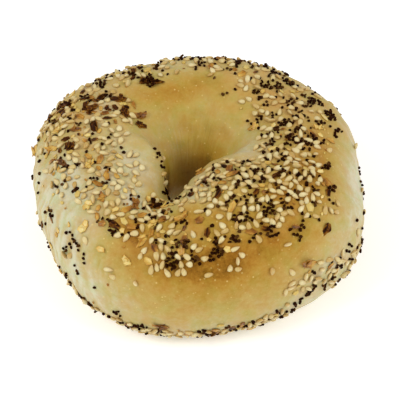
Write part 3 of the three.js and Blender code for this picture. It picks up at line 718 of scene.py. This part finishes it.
flake = {
    "corners": 5, "reach": (0.42, 0.18), "roll": 34, "pitch": 18, "seed": 1000, "rise": 0.16,
    "perSide": 4, "circles": 4, "ragged": 0.03, "thick": 0.4, "edge": 0.6, "fullSize": 4,
    "curl": 0.5, "curls": (-0.3, 1), "sunk": 0.15,  # curled up, or a little down, and so much lower
    "crease": 0.1, "creaseTurns": (1, 2.2),
    # how garlic and charred onion differ from dried onion
    "thicker": {"garlic": 2, "burnt": 1.4}, "flatter": {"garlic": 0.2}, "rougher": {"burnt": 1.8},
    # pieces that cling to a large flake
    "chips": 2, "chipsFrom": 4.4, "chipSize": (0.4, 0.3),
    "chipLift": 0.22, "chipLean": 0.35, "chipAside": 0.32,
    "tones": {"garlic": 0.2, "gold": 0.1, "amber": 0.36, "brown": 0.62, "burnt": 0.2}, "toneVaries": 0.1,
    "toneSeed": 17, "darker": (158, 34, 0.08),  # where smaller flakes are darker: middle, spread, how much
    # the tones of the smaller flakes, with how often each is met
    "often": [("garlic", 0.18), ("gold", 0.26), ("amber", 0.27), ("brown", 0.18), ("burnt", 0.11)],
    "thinRim": 5,  # how sharply a flake thins out at its rim
    "onionColours": [
        (0, "#dfc882"), (0.18, "#cfaa51"), (0.4, "#ae7a27"),
        (0.6, "#83500f"), (0.8, "#4f2c08"), (1, "#261305"),
    ],
    "charColours": [(0.35, "#150600"), (0.5, "#331501"), (0.62, "#5e3205"), (0.76, "#956519")],
    "garlicColours": [(0.15, "#dccb86"), (0.5, "#cbae5c"), (0.9, "#ad8336")],
}


def veinNoise(tree, along, across, own, apart):  # streaks along a flake, this many millimetres apart
    stretched = addNode(tree, "Math", {0: along, 1: 0.25}, operation="MULTIPLY")
    place = addNode(tree, "CombineXYZ", {"X": stretched, "Y": across, "Z": own})
    noise = {"Vector": place, "Scale": scaleFor(apart), "Detail": 3, "Roughness": 0.6, "Distortion": 0.4}
    return addNode(tree, "TexNoise", noise)


def driedOnion():  # dehydrated onion: thin and waxy, pale gold in the middle, caramel where it browned
    labels = ("toast", "rim", "along", "across", "own")
    material, tree, tone, rim, *local = startMaterial("driedOnion", *labels)
    place = addNode(tree, "TexCoord", output="Object")
    veins = veinNoise(tree, *local, 0.7)
    # one end is browner than the other
    caught = addNode(tree, "TexNoise", {"Vector": place, "Scale": scaleFor(3.5), "Detail": 1})
    both = addNode(tree, "Math", {0: caught, 1: 1.6, 2: veins}, operation="MULTIPLY_ADD")
    away = addNode(tree, "Math", {0: both, 1: 1.3}, operation="SUBTRACT")
    uneven = addNode(tree, "MapRange", {"Value": tone, "To Min": 0.25, "To Max": 1.1})
    # a pale flake browns at its edge, and a brown one is thin there
    thin = addNode(tree, "Math", {0: rim, 1: flake["thinRim"]}, operation="POWER")
    edge = addNode(tree, "MapRange", {"Value": tone, "To Min": 0.2, "To Max": -0.3})
    rimmed = addNode(tree, "Math", {0: thin, 1: edge, 2: tone}, operation="MULTIPLY_ADD")
    varied = addNode(tree, "Math", {0: away, 1: uneven, 2: rimmed}, operation="MULTIPLY_ADD")
    colour = addNode(tree, "ValToRGB", {"Fac": varied}, flake["onionColours"])
    finish = {"Roughness": 0.38, "IOR": 1.46, "Specular IOR Level": 0.3}
    return finishMaterial(material, colour, veins, (0.35, 0.1), finish, (0.2, (1, 0.5, 0.2), 0.6))


def charredOnion():  # onion baked almost to char: black and brittle, with brown left in its hollows
    material, tree, rim, *local = startMaterial("charredOnion", "rim", "along", "across", "own")
    crackle = veinNoise(tree, *local, 0.9)
    thin = addNode(tree, "Math", {0: rim, 1: flake["thinRim"]}, operation="POWER")
    varied = addNode(tree, "Math", {0: thin, 1: 0.16, 2: crackle}, operation="MULTIPLY_ADD")
    colour = addNode(tree, "ValToRGB", {"Fac": varied}, flake["charColours"])
    finish = {"Roughness": 0.5, "IOR": 1.46, "Specular IOR Level": 0.08}
    return finishMaterial(material, colour, crackle, (0.6, 0.2), finish)


def driedGarlic():  # garlic granules: matt pale yellow, mealy
    material, tree, tone = startMaterial("driedGarlic", "toast")
    place = addNode(tree, "TexCoord", output="Object")
    meal = addNode(tree, "TexNoise", {"Vector": place, "Scale": scaleFor(0.8), "Detail": 3})
    varied = addNode(tree, "Math", {0: meal, 1: 0.6, 2: tone}, operation="MULTIPLY_ADD")
    colour = addNode(tree, "ValToRGB", {"Fac": varied}, flake["garlicColours"])
    finish = {"Roughness": 0.55, "IOR": 1.45, "Specular IOR Level": 0.3}
    return finishMaterial(material, colour, meal, (0.5, 0.1), finish, (0.15, (1, 0.8, 0.4), 0.6))


def sheetFaces(circles, around):  # a plate: a middle point and circles above, the same below, and its edge
    below = 1 + circles * around
    faces = []
    for k in range(around):
        after = (k + 1) % around
        faces.append([0, 1 + k, 1 + after])
        faces.append([below, below + 1 + after, below + 1 + k])
        for c in range(circles - 1):
            near, far = 1 + c * around, 1 + (c + 1) * around
            faces.append([near + k, far + k, far + after, near + after])
            faces.append([below + near + after, below + far + after, below + far + k, below + near + k])
        edge = 1 + (circles - 1) * around
        faces.append([edge + k, below + edge + k, below + edge + after, edge + after])
    return faces


def chipPoints(corners, draws, ragged, thick, curl):  # a crooked plate, straight between its corners
    per, circles = flake["perSide"], flake["circles"]
    closed = np.concatenate([corners, corners[:1]])
    steps = np.arange(len(corners) * per) / per
    outline = np.stack([np.interp(steps, range(len(closed)), closed[:, axis]) for axis in (0, 1)], -1)
    outline = outline * (1 + ragged * draws.normal(size=(len(outline), 1)).clip(-2, 2))
    out = np.concatenate([[0], np.repeat(np.arange(1, circles + 1) / circles, len(outline))])
    level = np.concatenate([[[0, 0]], *(outline * circle / circles for circle in range(1, circles + 1))])
    long, wide = np.ptp(outline, axis=0)
    bends = draws.uniform(*flake["curls"], 2) * curl
    middle = bends[0] * (2 * level[:, 1] / wide) ** 2 + bends[1] * (2 * level[:, 0] / long) ** 2
    middle = middle - flake["sunk"] * bends.sum()
    way = draws.uniform(0, np.pi)
    crossing = level @ (np.cos(way), np.sin(way))
    wave = np.sin(draws.uniform(*flake["creaseTurns"]) * crossing + draws.uniform(0, 6))
    middle = middle + flake["crease"] * np.abs(wave)
    half = thick / 2 * (1 - (1 - flake["edge"]) * out ** 3)
    top = np.column_stack([level, middle + half])
    bottom = np.column_stack([level, middle - half])
    return np.concatenate([top, bottom]), np.column_stack([np.tile(out, 2), np.tile(level, (2, 1))])


def flakeTemplate(piece, draws, tone):  # its corners come from the same dice as its solid's
    roll = dice(flake["seed"] * (piece["number"] + 1))
    least, varies = flake["reach"]
    long, wide = piece["size"]
    start = 2 * math.pi * roll()
    corners = []
    for corner in range(flake["corners"]):
        angle, reach = start + 2 * math.pi * corner / flake["corners"], least + varies * roll()
        corners.append((long * reach * math.cos(angle), wide * reach * math.sin(angle)))
    tilt = (flake["roll"] * (roll() - 0.5), flake["pitch"] * (roll() - 0.5))
    corners = np.array(corners)
    small = min(1, long / flake["fullSize"])
    thick = flake["thick"] * flake["thicker"].get(tone, 1) * (0.5 + 0.5 * small)
    curl = flake["curl"] * small * flake["flatter"].get(tone, 1)
    ragged = flake["ragged"] * flake["rougher"].get(tone, 1)
    parts = [chipPoints(corners, draws, ragged, thick, curl)]
    least, varies = flake["chipSize"]
    lean, aside = flake["chipLean"], flake["chipAside"]
    for chip in range(flake["chips"] if long > flake["chipsFrom"] and tone != "garlic" else 0):
        size = least + varies * draws.random()
        turn = draws.uniform(0, 2 * np.pi)
        spin = np.array([[math.cos(turn), math.sin(turn)], [-math.sin(turn), math.cos(turn)]])
        points, marks = chipPoints(corners * size @ spin, draws, ragged, thick, curl)
        points[:, 2] += flake["chipLift"] * (1 + chip) + points[:, :2] @ draws.uniform(-lean, lean, 2)
        points[:, :2] += draws.uniform(-aside, aside, 2) * (long, wide)
        parts.append((points, marks))
    points, marks = (np.concatenate(values) for values in zip(*parts))
    return points, marks, tilt


flakePieces = {  # each piece's slot and material
    "onionFlakes": ("onion", driedOnion),
    "burntOnion": ("burnt_onion", charredOnion),
    "garlicBits": ("garlic", driedGarlic),
}


def makeFlakes(pieces):
    tones = dice(flake["toneSeed"])
    draws = np.random.default_rng(flake["toneSeed"])
    groups = {name: [] for name in flakePieces}
    varies = flake["toneVaries"]
    for piece in pieces:
        chance = min(tones() + bell(piece["at"], *flake["darker"]), 0.99)  # always below all shares
        tone = piece["tone"]
        for name, share in flake["often"]:
            if tone is None and chance < share:
                tone = name
            chance -= share
        tone = tone or "amber"
        local, marks, tilt = flakeTemplate(piece, draws, tone)
        shade = np.full(len(marks), flake["tones"][tone] + draws.uniform(-varies, varies))
        points = placed([piece], local, np.ones((1, 3)), [tilt], np.array([flake["rise"]]))
        own = np.full(len(marks), draws.uniform(0, 100))
        group = {"burnt": "burntOnion", "garlic": "garlicBits"}.get(tone, "onionFlakes")
        groups[group].append((points, *marks.T, shade, own))
    around = flake["corners"] * flake["perSide"]
    plate, plateSize = sheetFaces(flake["circles"], around), 2 * (1 + flake["circles"] * around)
    for name, (slot, finish) in flakePieces.items():
        points, rims, along, across, shades, own = (np.concatenate(part) for part in zip(*groups[name]))
        faces = copiedFaces(plate, plateSize, len(points) // plateSize)
        inMetres = {"along": along * mm, "across": across * mm, "own": own * mm}
        makePiece(name, points, faces, finish(), {"rim": rims, "toast": shades, **inMetres})


studio = {
    "aim": (0.65, -0.28, 18.5), "elevation": 47, "distance": 400, "lens": 102.27, "sensor": 36,
    "floorHalf": 1500, "floorColour": "#fcfcfb", "floorGlow": 0.26, "skyColour": "#ffffff", "sky": 0.58,
    "lamps": [  # from where it shines, its size, and its power
        ("keyLight", (-430, -220, 520), 320, 2.05),
        ("fillLight", (480, -170, 440), 320, 1.6),
    ],
}


def makeStudio():
    scene = bpy.context.scene
    scene.view_settings.view_transform = "Standard"
    aim = np.array(studio["aim"]) * mm
    tilt = math.radians(studio["elevation"])
    lens = bpy.data.cameras.new("camera")
    lens.lens, lens.sensor_width, lens.clip_start = studio["lens"], studio["sensor"], 0.01
    camera = addObject("camera", lens)
    camera.location = aim + studio["distance"] * mm * np.array([0, -math.cos(tilt), math.sin(tilt)])
    camera.rotation_euler = (math.pi / 2 - tilt, 0, 0)
    scene.camera = camera

    world = bpy.data.worlds.new("softSky")
    world.use_nodes = True
    sky = world.node_tree.nodes["Background"].inputs
    sky["Color"].default_value = linear(studio["skyColour"])
    sky["Strength"].default_value = studio["sky"]
    scene.world = world
    for name, place, size, power in studio["lamps"]:
        lamp = bpy.data.lights.new(name, "AREA")
        lamp.size, lamp.energy = size * mm, power
        stand = addObject(name, lamp)
        stand.location = np.array(place) * mm
        stand.rotation_euler = (-stand.location).to_track_quat("-Z", "Y").to_euler()

    material, tree = startMaterial("paperFloor")  # plain matt paper on a light table
    shader = addNode(tree, "BsdfPrincipled", {
        "Base Color": studio["floorColour"], "Roughness": 0.9, "Specular IOR Level": 0.2,
        "Emission Color": studio["floorColour"], "Emission Strength": studio["floorGlow"],
    })
    addNode(tree, "OutputMaterial", {"Surface": shader})
    half = studio["floorHalf"] * mm
    corners = [(-half, -half, 0), (half, -half, 0), (half, half, 0), (-half, half, 0)]
    mesh = bpy.data.meshes.new("floor")
    mesh.from_pydata(corners, [], [(0, 1, 2, 3)])
    mesh.materials.append(material)
    floor = addObject("floor", mesh)
    print("studio ready")


makeStudio()
makeCrust()
toppings = layCrumbs(layPoppies(layToppings()))
print("toppings laid:", len(toppings.pieces))
makeSesame(toppings.ofKind("seed"))
makePoppies(toppings.ofKind("poppy"))
makeFlakes(toppings.ofKind("flake", "crumb"))
